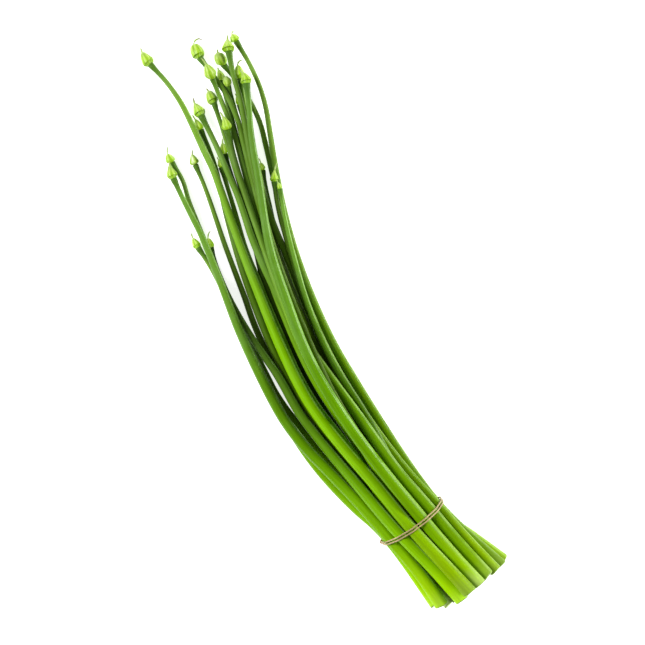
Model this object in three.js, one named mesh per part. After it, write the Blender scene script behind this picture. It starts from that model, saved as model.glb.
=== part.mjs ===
// A bunch of onion flower stalks lying on a table: long tapering green stalks, each ending in a closed
// flower bud, held near the cut ends by a thin rubber band wound twice round them.
// Millimetres, +Z up. The bunch lies along +Y with its cut ends at -Y.
import * as THREE from "three";

// Places are given as they look from this far above the middle of the bunch, so what is higher looks
// further out from there
const VIEW_HEIGHT = 1200;
const VIEW_CENTRE = [-15.1, 177.8];

// The middle line of the bunch in plan: it leans left at the cut ends and right at the buds
const BUNCH_LENGTH = 357;
const BUTT_LEAN = 18;
const BUD_LEAN = 14;
const BOW = 120;

// Where the band is, the middle of the stalks in it, and half the width and height they fill there
const TIE_AT = 49;
const TIE_CENTRE = [-1.9, 19.8];
const TIE_HALF = [21.5, 18.5];

// Rings of stalks in the band, as shares of the outermost one, which lies this far inside
const OUTER = 1;
const INNER = 0.59;
const CORE = 0.2;
const RING_INSET = 3.3;

// The band: two strands side by side, their tops leaning back
const BAND_R = 0.42;
const BAND_SPREAD = 0.85;
const BAND_TILT = 7;
const BAND_STEPS = 132;
const BAND_SIDES = 6;

// Where the strands change places: the angle, how quickly they do, and over how much of the turn one of
// them rises over the other
const CROSSING_AT = 192;
const CROSSING_PACE = 3.2;
const CROSSING_SPAN = 0.5;
const CROSSING_GAP = 0.2;

// The band's gap to the stalks, which slant through it
const BAND_GAP = 0.5;

// The table is as much higher where the band runs under the stalks, from this far to this near it
const BAND_FAR = 22;
const BAND_NEAR = 8;

// Faceting of the stalks and buds, and which points of a bud's middle line settle with its stalk
const SIDES = 8;
const STALK_STEPS = 25;
const BUD_STEPS = 8;
const BEAK_STEPS = 3;
const BUD_NODES = [1, 4, BUD_STEPS, BUD_STEPS + BEAK_STEPS];

// A stalk widens over its first steps to its cut end, and where it meets its bud
const CUT_FLARE = 0.16;
const CUT_STEPS = 3;
const CUT_POWER = 1.5;
const NECK_FLARE = 1.2;
const JOINT_GAP = 0.3;

// A bud's outline: how far up it its shoulder is, the shares of its half width at its foot and where its
// beak starts, and the beak's radius at its end
const SHOULDER = 0.28;
const FOOT = 0.55;
const BEAK_FOOT = 0.2;
const BEAK_END = 0.34;

// How the stalks settle on the table and on each other: in the first passes they sink, in the next ones
// they straighten now and then, and in the last ones they only clear each other
const SINK_PASSES = 1500;
const CALM_PASSES = 300;
const CLEAR_PASSES = 100;
const CALM_EVERY = 8;
const SEARCH_EVERY = 50;
const REACH = 24;
const WEIGHT = 0.012;
const STIFFNESS = 0.6;
const HELD_PULL = 0.2;
const FREE_PULL = 0.06;
const GAP = 0.35;
const LEVEL = 3;
const FLOOR_SHARE = Math.cos(Math.PI / SIDES);
const FLAT = 0.12;

// Each stalk, from left to right at the buds. Distances are [along the middle line, to the right of it].
// tie is [ring, degrees from the top] in the band, level is 1 for those lowest at the buds, thick is the
// radius at the cut end and at the neck, and taper is larger where the stalk stays thick for longer.
const STALKS = [
  { tie: [OUTER, -94], level: 2, thick: [3.3, 1.3], taper: 1.6, held: true, butt: [2, -22],
    route: [[62, -22], [75, -25.6], [100, -31], [120, -33.8], [140, -35], [190, -36.8], [213, -37.8],
      [226, -39.3], [238, -41.9]],
    neck: [246.9, -44.6], bud: { r: 2.4, length: 6, beak: 4, round: 0.5, lean: 5, curl: 10 } },
  { tie: [OUTER, -65], level: 4, thick: [3.65, 1.35], taper: 2, held: true, butt: [-1, -20.3],
    route: [[20, -17.6], [75, -21.5], [100, -27.2], [120, -32.6], [140, -36], [190, -38.2], [222, -38.5],
      [239, -39.3], [256, -41], [272, -44.4]],
    neck: [288.5, -47.4], bud: { r: 3.05, length: 8.5, beak: 2, round: 0.05, lean: 18, curl: 0 } },
  { tie: [OUTER, -117], level: 1, thick: [2.9, 1.25], taper: 1.8, held: true, butt: [-3.5, -15.5],
    route: [[90, -21], [115, -25.9], [136, -30.4], [150, -33.6], [160, -35], [190, -37], [240, -39],
      [274, -42.1], [288, -42.8]],
    neck: [297.4, -46.1], bud: { r: 2.9, length: 5.4, beak: 4.8, round: 0.7, lean: 10, curl: 35 } },
  { tie: [OUTER, -35], level: 4, thick: [3.65, 1.4], taper: 1.8, held: true, butt: [-6.7, -8.5],
    route: [[20, -9.3], [80, -16], [120, -22.8], [140, -26], [152, -26.6], [165, -28], [182, -31.8],
      [200, -35.3], [215, -37.4], [233, -38.3]],
    neck: [244.6, -38], bud: { r: 2.7, length: 5.6, beak: 5, round: 0.6, lean: 5, curl: 45 } },
  { tie: [INNER, -134], level: 2, thick: [2.9, 1.2], taper: 1.8, held: true, butt: [-4, -11],
    route: [[90, -18], [130, -24], [160, -26.5], [178, -27.8], [194, -28.3], [210, -27.8], [227, -28.2],
      [244, -28.9], [279, -30.6]],
    neck: [292.9, -32.7], bud: { r: 2.85, length: 6.3, beak: 2.8, round: 0.3, lean: 14, curl: 20 } },
  { tie: [INNER, -94], level: 3, thick: [3.2, 1.3], taper: 1.8, held: true, butt: [-5, -9],
    route: [[90, -13.8], [140, -21], [165, -23.8], [190, -24.6], [220, -24.2], [250, -22.9], [269, -22],
      [286, -21.1], [297, -21.8]],
    neck: [311.9, -24.6], bud: { r: 2.5, length: 7, beak: 3, round: 0.2, lean: -8, curl: 0 } },
  { tie: [OUTER, -8], level: 4, thick: [3.75, 1.35], taper: 1.8, held: true, butt: [-6.3, -1.7],
    route: [[80, -7], [110, -12.5], [140, -17.6], [174, -19], [206, -19.2], [240, -20.4], [269, -21.5],
      [287, -22.7], [305, -26.4], [324, -30.6], [338, -35.7]],
    neck: [354.8, -46.1], bud: { r: 3.6, length: 8.5, beak: 3, round: 0.4, lean: 15, curl: 10 } },
  { tie: [INNER, -54], level: 3, thick: [2.9, 1.2], taper: 1.8, held: true, butt: [-4, -5],
    route: [[100, -9], [140, -14.8], [174, -16.4], [206, -17.3], [240, -17.9], [260, -17.4]],
    neck: [287.7, -18.2], bud: { r: 1.9, length: 4.5, beak: 2, round: 0.3, lean: -12, curl: 0 } },
  { tie: [OUTER, -143], level: 1, thick: [3.1, 1.25], taper: 1.8, held: true, butt: [-5, -2],
    route: [[100, -8], [156, -12.6], [180, -12.6], [207, -12.6], [226, -12.5], [241, -11.7], [282, -13.1]],
    neck: [294.8, -13.6], bud: { r: 2.6, length: 6.5, beak: 2.5, round: 0.3, lean: 8, curl: 15 } },
  { tie: [INNER, -174], level: 3, thick: [2.9, 1.3], taper: 1.8, held: false, butt: [-5, 3],
    route: [[100, -4], [150, -7], [200, -8.3], [240, -9.5], [290, -11.4], [312, -12.6]],
    neck: [325.6, -13.7], bud: { r: 3.3, length: 7.5, beak: 2, round: 0.7, lean: -8, curl: -12 } },
  { tie: [INNER, -14], level: 6, thick: [3, 1.6], taper: 1.8, held: false, butt: [-6, 2],
    route: [[100, -2], [150, -5.5], [200, -6.5], [240, -7.3], [265, -8.3], [283, -9], [300, -8.9]],
    neck: [308.4, -8.3], bud: { r: 3.2, length: 8, beak: 3.5, round: 0, lean: -20, curl: 0 } },
  { tie: [OUTER, 49], level: 5, thick: [3.5, 1.5], taper: 1.8, held: true, butt: [-6.4, 11.6],
    route: [[80, 7.7], [120, 3.9], [160, -2], [204, -8.2], [217, -9.7], [243, -11.8], [266, -12.3],
      [284, -14.8], [301, -17.6]],
    neck: [320.1, -22.4], bud: { r: 3.55, length: 7.5, beak: 3.8, round: 0.15, lean: -3, curl: 30 } },
  { tie: [CORE, -90], level: 5, thick: [3, 1.35], taper: 1.8, held: false, butt: [-5, 5],
    route: [[100, 0], [150, -3], [200, -5.3], [240, -5.6], [280, -5], [306, -5.9], [320, -7.8]],
    neck: [341.2, -11.3], bud: { r: 3.6, length: 7.5, beak: 5, round: 0.4, lean: -6, curl: -14 } },
  { tie: [OUTER, 20], level: 6, thick: [4, 1.5], taper: 1.6, held: true, butt: [-7, 6.2],
    route: [[20, 5.7], [80, 1.2], [120, -3.2], [160, -6.3], [185, -6], [201, -5.2], [217, -4.8], [233, -4],
      [248, -2.2], [263, 0], [276, 1.7], [302, 4], [318, 6.6]],
    neck: [333.1, 8.1], bud: { r: 3.3, length: 6.5, beak: 3, round: 0.2, lean: -28, curl: 0 } },
  { tie: [INNER, 26], level: 5, thick: [3.2, 1.45], taper: 1.6, held: false, butt: [-5, 9],
    route: [[100, 2], [150, -2], [200, -3.5], [240, -2.6], [275, -0.2], [306, 2.1], [323, 3], [336, 1.9]],
    neck: [354.4, 1.9], bud: { r: 4, length: 6.5, beak: 3, round: 0.1, lean: 8, curl: 0 } },
  { tie: [CORE, 90], level: 3, thick: [3, 1.35], taper: 1.6, held: false, butt: [-5, 10],
    route: [[100, 3], [150, 0], [200, -2], [250, -2.5], [290, -0.8], [311, -0.2], [324, -1.9], [337, -6.6]],
    neck: [353.9, -15.4], bud: { r: 3.8, length: 8.4, beak: 6.5, round: 1, lean: 15, curl: 130 } },
  { tie: [OUTER, -166], level: 1, thick: [2.9, 1.3], taper: 1.8, held: false, butt: [-4, 6],
    route: [[100, 1], [150, -3], [200, -4.5], [250, -5], [300, -4]], neck: [337.6, -5.3],
    bud: { r: 2.6, length: 6.5, beak: 2, round: 0.3, lean: -5, curl: 15 } },
  { tie: [OUTER, 170], level: 2, thick: [2.9, 1.3], taper: 1.8, held: false, butt: [-4, 14],
    route: [[100, 6], [150, 1.5], [200, 0], [250, -0.5], [300, -0.8]], neck: [335, -3.8],
    bud: { r: 2.7, length: 4.5, beak: 1.5, round: 0.6, lean: -20, curl: -10 } },
  { tie: [INNER, 146], level: 1, thick: [2.9, 1.2], taper: 1.8, held: false, butt: [-4, 12],
    route: [[100, 5], [150, 2], [200, 0.5], [250, 0.5], [290, 0.5]], neck: [321.1, 0],
    bud: { r: 2, length: 5, beak: 2, round: 0.4, lean: -5, curl: 0 } },
  { tie: [INNER, 106], level: 4, thick: [3, 1.3], taper: 1.8, held: false, butt: [-4, 17],
    route: [[100, 9], [150, 6], [200, 4.3], [222, 3.7], [250, 1.2], [300, 3]], neck: [336, 4.5],
    bud: { r: 3, length: 8, beak: 5, round: 0.6, lean: 0, curl: 80 } },
  { tie: [OUTER, 120], level: 2, thick: [3.3, 1.3], taper: 1.6, held: true, butt: [-5.3, 24.8],
    route: [[20, 21.3], [80, 13.2], [120, 10], [160, 8.3], [200, 8], [224, 8.6], [252, 9.9], [282, 11.4],
      [310, 11.4], [320, 9.2], [333, 4.7], [341, -0.2]],
    neck: [347.1, -3.2], bud: { r: 3.5, length: 7.5, beak: 1.8, round: 1, lean: 25, curl: 10 } },
  { tie: [OUTER, 146], level: 1, thick: [2.9, 1.2], taper: 1.6, held: true, butt: [-4, 19],
    route: [[100, 9], [150, 4.5], [200, 1.5], [237, 0.8], [250, 2.4], [268, 4.2]], neck: [279.6, 5.4],
    bud: { r: 2.1, length: 4.5, beak: 3, round: 0.5, lean: -5, curl: -10 } },
  { tie: [INNER, 66], level: 7, thick: [2.9, 1.1], taper: 1.6, held: false, butt: [-5, 15],
    route: [[100, 8], [150, 5], [190, 5.5], [220, 7.5], [245, 9.7]], neck: [266, 12.3],
    bud: { r: 1.5, length: 3.8, beak: 1.6, round: 0.3, lean: -20, curl: 0 } },
  { tie: [OUTER, 75], level: 5, thick: [3.3, 1.3], taper: 1.6, held: true, butt: [-6.8, 16.3],
    route: [[80, 11.8], [120, 8.2], [160, 5.7], [200, 5.4], [240, 7.2], [257, 8.4]], neck: [270.9, 10.8],
    bud: { r: 2.45, length: 6.5, beak: 5, round: 0, lean: 12, curl: 15 } },
  { tie: [OUTER, 98], level: 3, thick: [3.3, 1.25], taper: 1.4, held: true, butt: [-7, 20.3],
    route: [[80, 13.6], [100, 12.6], [121, 11.8], [143, 10.8], [164, 9.5], [184, 9], [204, 8.9], [224, 9.1],
      [243, 9.8], [262, 11.1], [280, 12.9], [299, 15], [318, 16.3], [330, 15.4], [341, 13.2]],
    neck: [359, 6.9], bud: { r: 3, length: 4.6, beak: 3, round: 0.7, lean: 0, curl: 95 } },
];

const UP = new THREE.Vector3(0, 0, 1);
const radians = THREE.MathUtils.degToRad;

// The middle line in plan, from the cut ends to the buds
const middle = new THREE.CubicBezierCurve3(
  new THREE.Vector3(0, 0, 0),
  new THREE.Vector3(-BOW * Math.sin(radians(BUTT_LEAN)), BOW * Math.cos(radians(BUTT_LEAN)), 0),
  new THREE.Vector3(-BOW * Math.sin(radians(BUD_LEAN)), BUNCH_LENGTH - BOW * Math.cos(radians(BUD_LEAN)), 0),
  new THREE.Vector3(0, BUNCH_LENGTH, 0),
);
const middleLength = middle.getLength();

// The plan position that is `across` to the right of the middle line, `along` it. Past its ends the line
// runs on straight.
function plan([along, across]) {
  const share = THREE.MathUtils.clamp(along / middleLength, 0, 1);
  const forward = middle.getTangentAt(share);
  const right = new THREE.Vector3(forward.y, -forward.x, 0);
  return middle
    .getPointAt(share)
    .addScaledVector(forward, along - share * middleLength)
    .addScaledVector(right, across);
}

// Lifts a plan position to a height, and moves it in so that it looks the same from above
function drawIn(point, height) {
  const centre = new THREE.Vector3(...VIEW_CENTRE, 0);
  return centre.lerp(point, 1 - height / VIEW_HEIGHT).setZ(height);
}

// The plan position a place looks to be at from above
function lookDown({ x, y, z }) {
  const centre = new THREE.Vector3(...VIEW_CENTRE, 0);
  return centre.lerp(new THREE.Vector3(x, y, 0), 1 / (1 - z / VIEW_HEIGHT));
}

// The middle line of a bud, from its stalk's neck to the end of its beak, which curls sideways
function budAxis(neck, forward, { length, beak, lean, curl }) {
  const heading = forward.clone();
  const points = [neck.clone().addScaledVector(heading, JOINT_GAP)];
  for (let k = 0; k < BUD_STEPS + BEAK_STEPS; k++) {
    const inBeak = k >= BUD_STEPS;
    heading.applyAxisAngle(UP, -radians(inBeak ? curl / BEAK_STEPS : lean / BUD_STEPS));
    const step = inBeak ? beak / BEAK_STEPS : length / BUD_STEPS;
    points.push(points.at(-1).clone().addScaledVector(heading, step));
  }
  return points;
}

// How wide a bud is, as a share of its half width: it swells from its foot to its shoulder, and narrows from
// there to its beak
function budOutline(share, round) {
  if (share < SHOULDER) return THREE.MathUtils.lerp(FOOT, 1, Math.sqrt(1 - (1 - share / SHOULDER) ** 2));
  const up = (share - SHOULDER) / (1 - SHOULDER);
  return THREE.MathUtils.lerp(BEAK_FOOT, 1, THREE.MathUtils.lerp(1 - up, Math.sqrt(1 - up ** 2), round));
}

// The radius of a bud at a step along it
function budRadius({ r, round }, k) {
  if (k <= BUD_STEPS) return r * budOutline(k / BUD_STEPS, round);
  return THREE.MathUtils.lerp(r * BEAK_FOOT, BEAK_END, (k - BUD_STEPS) / BEAK_STEPS);
}

// The room a bud takes round one of its nodes: its widest from the step before to the step after
function budRoom(bud, k) {
  const after = Math.min(k + 1, BUD_STEPS + BEAK_STEPS);
  return Math.max(budRadius(bud, k - 1), budRadius(bud, k), budRadius(bud, after));
}

// The radius of a stalk at a step along it
function stalkRadius({ thick: [butt, neck], taper }, k) {
  if (k === STALK_STEPS) return neck * NECK_FLARE;
  const flare = 1 + CUT_FLARE * Math.max(0, 1 - k / CUT_STEPS) ** CUT_POWER;
  return THREE.MathUtils.lerp(butt, neck, (k / STALK_STEPS) ** taper) * flare;
}

// The middle line a stalk is laid along: it passes through its place in the band, and comes down from
// there to its level at the buds
function course({ tie: [ring, angle], level, butt, route, neck }) {
  const across = TIE_CENTRE[0] + ring * (TIE_HALF[0] - RING_INSET) * Math.sin(radians(angle));
  const height = TIE_CENTRE[1] + ring * (TIE_HALF[1] - RING_INSET) * Math.cos(radians(angle));
  const stops = [butt, [TIE_AT, across], ...route, neck].sort((a, b) => a[0] - b[0]);
  const points = stops.map((stop) => {
    const share = THREE.MathUtils.clamp((stop[0] - TIE_AT) / (neck[0] - TIE_AT), 0, 1);
    return drawIn(plan(stop), THREE.MathUtils.lerp(height, LEVEL * level, Math.sqrt(share)));
  });
  return new THREE.CatmullRomCurve3(points, false, "centripetal");
}

// A stalk before it settles: nodes evenly spaced from the cut end to the neck, then four along its bud,
// each with its radius. `laid` is where a node starts, and `seen` where it looks to be from above.
function lay(stalk) {
  const nodes = course(stalk).getSpacedPoints(STALK_STEPS);
  const radii = nodes.map((_, k) => stalkRadius(stalk, k));
  const end = nodes.at(-1);
  const forward = end.clone().sub(nodes.at(-2)).setZ(0).normalize();
  const axis = budAxis(end, forward, stalk.bud);
  nodes.push(...BUD_NODES.map((k) => axis[k].clone()));
  radii.push(...BUD_NODES.map((k) => budRoom(stalk.bud, k)));
  return { ...stalk, nodes, radii, axis, laid: nodes.map((node) => node.clone()), seen: nodes.map(lookDown) };
}

// The nearest points of segments a-b and c-d, as their shares along each
function nearest(a, b, c, d) {
  const u = b.clone().sub(a);
  const v = d.clone().sub(c);
  const w = a.clone().sub(c);
  const uu = u.dot(u);
  const uv = u.dot(v);
  const vv = v.dot(v);
  const uw = u.dot(w);
  const vw = v.dot(w);
  const clamp = (x) => Math.min(1, Math.max(0, x));
  const flat = uu * vv - uv * uv;
  let s = flat > 1e-9 ? clamp((uv * vw - vv * uw) / flat) : 0.5;
  const t = clamp((uv * s + vw) / vv);
  s = clamp((uv * t - uw) / uu);
  return [s, t];
}

// Every pair of segments of two stalks that could touch
function neighbours(stalks) {
  const pairs = [];
  stalks.forEach((one, i) => {
    for (const other of stalks.slice(i + 1)) {
      for (let k = 0; k + 1 < one.nodes.length; k++) {
        for (let m = 0; m + 1 < other.nodes.length; m++) {
          if (one.nodes[k].distanceTo(other.nodes[m]) < REACH) pairs.push([one, k, other, m]);
        }
      }
    }
  });
  return pairs;
}

// Moves two stalks apart where these segments of theirs are closer than their radii and the gap
function part([one, k, other, m]) {
  const [a, b] = [one.nodes[k], one.nodes[k + 1]];
  const [c, d] = [other.nodes[m], other.nodes[m + 1]];
  const [s, t] = nearest(a, b, c, d);
  const away = a.clone().lerp(b, s).sub(c.clone().lerp(d, t));
  const room =
    THREE.MathUtils.lerp(one.radii[k], one.radii[k + 1], s) +
    THREE.MathUtils.lerp(other.radii[m], other.radii[m + 1], t) +
    GAP;
  const distance = away.length();
  if (distance >= room) return;
  if (distance < 1e-6) away.set(0, 0, 1);
  away.setLength((room - distance) / 2);
  a.addScaledVector(away, 1 - s);
  b.addScaledVector(away, s);
  c.addScaledVector(away, t - 1);
  d.addScaledVector(away, -t);
}

// Straightens a row of numbers towards the least sum of squared second differences
function stiffen(values, share) {
  const n = values.length;
  const v = values;
  for (let k = 0; k < n; k++) {
    let best;
    if (k === 0) best = 2 * v[1] - v[2];
    else if (k === 1) best = (2 * v[0] + 4 * v[2] - v[3]) / 5;
    else if (k === n - 2) best = (2 * v[n - 1] + 4 * v[n - 3] - v[n - 4]) / 5;
    else if (k === n - 1) best = 2 * v[n - 2] - v[n - 3];
    else best = (4 * (v[k - 1] + v[k + 1]) - v[k - 2] - v[k + 2]) / 6;
    v[k] += share * (best - v[k]);
  }
}

// Bends a stalk back towards a smooth line, and towards where it looked to be from above when it was laid
function relax({ nodes, seen }, pull) {
  const rest = nodes.map((node, k) => drawIn(seen[k], node.z));
  for (const axis of ["x", "y"]) {
    const shift = nodes.map((node, k) => node[axis] - rest[k][axis]);
    stiffen(shift, STIFFNESS);
    nodes.forEach((node, k) => {
      node[axis] = rest[k][axis] + shift[k] * (1 - pull);
    });
  }
  const heights = nodes.map((node) => node.z);
  stiffen(heights, STIFFNESS);
  nodes.forEach((node, k) => node.setZ(heights[k]));
}

// The band's plane: its middle, and the directions right, along the bunch and up. Its top leans back
// towards the cut ends
const bandPlace = drawIn(plan([TIE_AT, TIE_CENTRE[0]]), TIE_CENTRE[1]);
const bandLevel = middle.getTangentAt(TIE_AT / middleLength);
const bandRight = new THREE.Vector3(bandLevel.y, -bandLevel.x, 0);
const bandAlong = bandLevel.clone().applyAxisAngle(bandRight, radians(BAND_TILT));
const bandUp = bandRight.clone().cross(bandAlong);

// The least height of a node's middle: its flat side on the table, or on the band where that passes under
function floorUnder(node, radius) {
  const fromBand = Math.abs(node.clone().sub(bandPlace).dot(bandLevel));
  const near = THREE.MathUtils.clamp((BAND_FAR - fromBand) / (BAND_FAR - BAND_NEAR), 0, 1);
  return radius * FLOOR_SHARE - FLAT + near * (2 * BAND_R + BAND_GAP);
}

// Where a stalk passes through the band's plane: its place right of and above the bundle's middle
function throughBand({ nodes, radii }) {
  const ahead = nodes.map((node) => node.clone().sub(bandPlace).dot(bandAlong));
  const k = ahead.findIndex((value) => value >= 0);
  const share = ahead[k - 1] / (ahead[k - 1] - ahead[k]);
  const offset = nodes[k - 1].clone().lerp(nodes[k], share).sub(bandPlace);
  const radius = THREE.MathUtils.lerp(radii[k - 1], radii[k], share);
  return { k, x: offset.dot(bandRight), y: offset.dot(bandUp), radius };
}

// Draws a stalk in where it would lie outside the band's round
function bind(stalk) {
  const { k, x, y, radius } = throughBand(stalk);
  const out = Math.hypot(x / (TIE_HALF[0] - radius), y / (TIE_HALF[1] - radius));
  if (out <= 1) return;
  const move = bandRight.clone().multiplyScalar(x).addScaledVector(bandUp, y);
  move.multiplyScalar(1 / out - 1);
  stalk.nodes[k - 1].add(move);
  stalk.nodes[k].add(move);
}

// Lets a stalk sink a little, and bends it back towards its line
function sink(stalk) {
  for (const node of stalk.nodes) node.z -= WEIGHT;
  relax(stalk, stalk.held ? HELD_PULL : FREE_PULL);
}

// Lifts a stalk where it has sunk too low
function support({ nodes, radii }) {
  nodes.forEach((node, k) => node.setZ(Math.max(node.z, floorUnder(node, radii[k]))));
}

// Lets the stalks sink until they rest on the table and on each other
function settle(stalks) {
  const calm = SINK_PASSES + CALM_PASSES;
  let pairs = [];
  for (let pass = 0; pass < calm + CLEAR_PASSES; pass++) {
    if (pass % SEARCH_EVERY === 0) pairs = neighbours(stalks);
    if (pass < SINK_PASSES) stalks.forEach(sink);
    else if (pass < calm && pass % CALM_EVERY === 0) stalks.forEach((stalk) => relax(stalk, 0));
    pairs.forEach(part);
    stalks.forEach(bind);
    stalks.forEach(support);
  }
  return stalks;
}

// Bends a straight solid that stands along +Y onto a path: what is at height y goes to the frame there,
// and its own x and z go to the frame's right and up
function bend(geometry, frames) {
  const position = geometry.getAttribute("position");
  for (let i = 0; i < position.count; i++) {
    const { point, right, up } = frames(position.getY(i));
    const x = position.getX(i);
    const z = position.getZ(i);
    const place = point.clone().addScaledVector(right, x).addScaledVector(up, z);
    position.setXYZ(i, place.x, place.y, Math.max(place.z, 0));
  }
  geometry.computeVertexNormals();
  return geometry;
}

// The frame at a row's k-th point: its place, and the directions right of and above its way forward
function frameAt(points, k, before = points[0], after = points.at(-1)) {
  const last = points[k - 1] ?? before;
  const next = points[k + 1] ?? after;
  const forward = next.clone().sub(last).normalize();
  const right = forward.clone().cross(UP).normalize();
  return { point: points[k], right, up: right.clone().cross(forward) };
}

// A row of rings along points, as a lathed solid bent onto them. The point before the first and the one
// after the last turn its end faces.
function swept(points, radii, before, after) {
  const profile = radii.map((radius, k) => new THREE.Vector2(radius, k));
  profile.unshift(new THREE.Vector2(0, 0));
  profile.push(new THREE.Vector2(0, radii.length - 1));
  const solid = new THREE.LatheGeometry(profile, SIDES, Math.PI / SIDES);
  return bend(solid, (y) => frameAt(points, Math.round(y), before, after));
}

// A stalk, with its last face square to the way into its bud
function stalkSolid({ nodes, radii }) {
  const count = STALK_STEPS + 1;
  return swept(nodes.slice(0, count), radii.slice(0, count), undefined, nodes[count]);
}

// A bud's middle line where its stalk has settled: each point moves as its neighbours among the nodes
function settledAxis({ nodes, laid, axis }) {
  const known = [0, ...BUD_NODES];
  const moves = nodes.slice(STALK_STEPS).map((node, i) => node.clone().sub(laid[STALK_STEPS + i]));
  return axis.map((point, k) => {
    const next = Math.max(1, known.findIndex((index) => index >= k));
    const share = (k - known[next - 1]) / (known[next] - known[next - 1]);
    return point.clone().add(moves[next - 1].clone().lerp(moves[next], share));
  });
}

// A bud, as wide at its foot as the neck it grows from
function budSolid(stalk) {
  const points = settledAxis(stalk);
  const radii = points.map((_, k) => (k === 0 ? stalk.radii[STALK_STEPS] : budRadius(stalk.bud, k)));
  return swept(points, radii, stalk.nodes[STALK_STEPS - 1]);
}

// The path of the band: the stalks' outline in its plane, gone round twice, crossing over itself once
class BandPath extends THREE.Curve {
  constructor(stalks) {
    super();
    this.rounds = stalks.map(throughBand);
    this.arcLengthDivisions = 6 * BAND_STEPS;
  }

  // The outline's point furthest out in a direction, `out` beyond the stalks
  outline(angle, out) {
    const x = Math.cos(angle);
    const y = Math.sin(angle);
    const reach = (round) => round.x * x + round.y * y + round.radius;
    const furthest = this.rounds.reduce((best, round) => (reach(round) > reach(best) ? round : best));
    return [furthest.x + (furthest.radius + out) * x, furthest.y + (furthest.radius + out) * y];
  }

  getPoint(t, target = new THREE.Vector3()) {
    const turn = t * 4 * Math.PI;
    const side = THREE.MathUtils.clamp(CROSSING_PACE * Math.sin(turn / 2), -1, 1) * BAND_SPREAD;
    const fromEnd = Math.min(turn, 4 * Math.PI - turn);
    const over = Math.max(0, 1 - fromEnd / CROSSING_SPAN) * (2 * BAND_R + CROSSING_GAP);
    const [x, y] = this.outline(radians(CROSSING_AT) + turn, BAND_R + BAND_GAP + over);
    return target
      .copy(bandPlace)
      .addScaledVector(bandRight, x)
      .addScaledVector(bandUp, y)
      .addScaledVector(bandAlong, side);
  }
}

function named(name, geometry, material) {
  const mesh = new THREE.Mesh(geometry, material);
  mesh.name = name;
  return mesh;
}

const green = new THREE.MeshStandardMaterial({ color: 0x5f9a1c, roughness: 0.42, metalness: 0 });
const lime = new THREE.MeshStandardMaterial({ color: 0xa3d13a, roughness: 0.5, metalness: 0 });
const tan = new THREE.MeshStandardMaterial({ color: 0xb08a55, roughness: 0.6, metalness: 0 });

const stalks = settle(STALKS.map(lay));
const bunch = new THREE.Group();
stalks.forEach((stalk, i) => {
  const number = String(i + 1).padStart(2, "0");
  bunch.add(named(`stalk_${number}`, stalkSolid(stalk), green));
  bunch.add(named(`bud_${number}`, budSolid(stalk), lime));
});
bunch.add(
  named("tie_band", new THREE.TubeGeometry(new BandPath(stalks), BAND_STEPS, BAND_R, BAND_SIDES, true), tan),
);

// The origin is under the middle of the bunch's box, on the table
const box = new THREE.Box3().setFromObject(bunch);
bunch.position.set(-(box.min.x + box.max.x) / 2, -(box.min.y + box.max.y) / 2, -box.min.z);

export default bunch;
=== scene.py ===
"""The looks of a bunch of onion flower stalks: fine stalks, pleated buds and a twin band round them.

Each finished stalk and bud follows the rings of its plain solid, apart from three stalks that lean a little
aside, and the band follows the outline of the stalks inside it. Metres, +Z up. The bunch lies along +Y with
its cut ends at -Y.
"""

import logging
import math
from dataclasses import dataclass, field
from enum import Enum
from typing import Any

import bpy
import numpy as np
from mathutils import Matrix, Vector


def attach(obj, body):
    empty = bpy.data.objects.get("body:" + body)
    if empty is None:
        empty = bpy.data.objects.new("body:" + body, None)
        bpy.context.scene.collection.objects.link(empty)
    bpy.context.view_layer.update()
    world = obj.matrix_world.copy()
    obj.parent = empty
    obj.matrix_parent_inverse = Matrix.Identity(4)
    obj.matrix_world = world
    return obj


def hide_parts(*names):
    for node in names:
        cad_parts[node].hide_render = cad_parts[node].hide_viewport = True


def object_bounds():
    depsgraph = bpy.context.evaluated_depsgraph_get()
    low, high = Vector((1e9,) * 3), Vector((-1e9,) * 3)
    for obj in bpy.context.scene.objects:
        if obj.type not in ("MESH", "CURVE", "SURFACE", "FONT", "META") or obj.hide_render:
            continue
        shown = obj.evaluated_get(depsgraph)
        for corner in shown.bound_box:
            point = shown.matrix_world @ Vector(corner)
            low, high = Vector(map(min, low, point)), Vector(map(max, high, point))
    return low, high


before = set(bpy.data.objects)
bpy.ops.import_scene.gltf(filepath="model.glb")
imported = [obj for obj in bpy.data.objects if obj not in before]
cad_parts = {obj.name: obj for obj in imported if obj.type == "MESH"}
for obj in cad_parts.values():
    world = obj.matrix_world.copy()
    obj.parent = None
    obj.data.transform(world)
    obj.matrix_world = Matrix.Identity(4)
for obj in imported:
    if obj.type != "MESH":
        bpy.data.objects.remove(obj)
CAD_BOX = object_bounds()

log = logging.getLogger("bunch")

MM = 0.001
WELD = 1e-5
UP = np.array([0.0, 0.0, 1.0])
STALKS = 25
SEED = 41
PALE_FOOT = 0.07
EVEN_SHADE = (1.0, 1.0, 1.0)

Array = np.ndarray
Triple = tuple[float, float, float]
Colour = Triple


class Slot(Enum):
    """The finishes that the record names."""

    STALK = "stalk"
    BUD = "bud"
    BAND = "band"


class Tip(Enum):
    """How a bud's sheath ends."""

    SHUT = "shut"
    SPLIT = "split"
    DRY = "dry"


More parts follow.
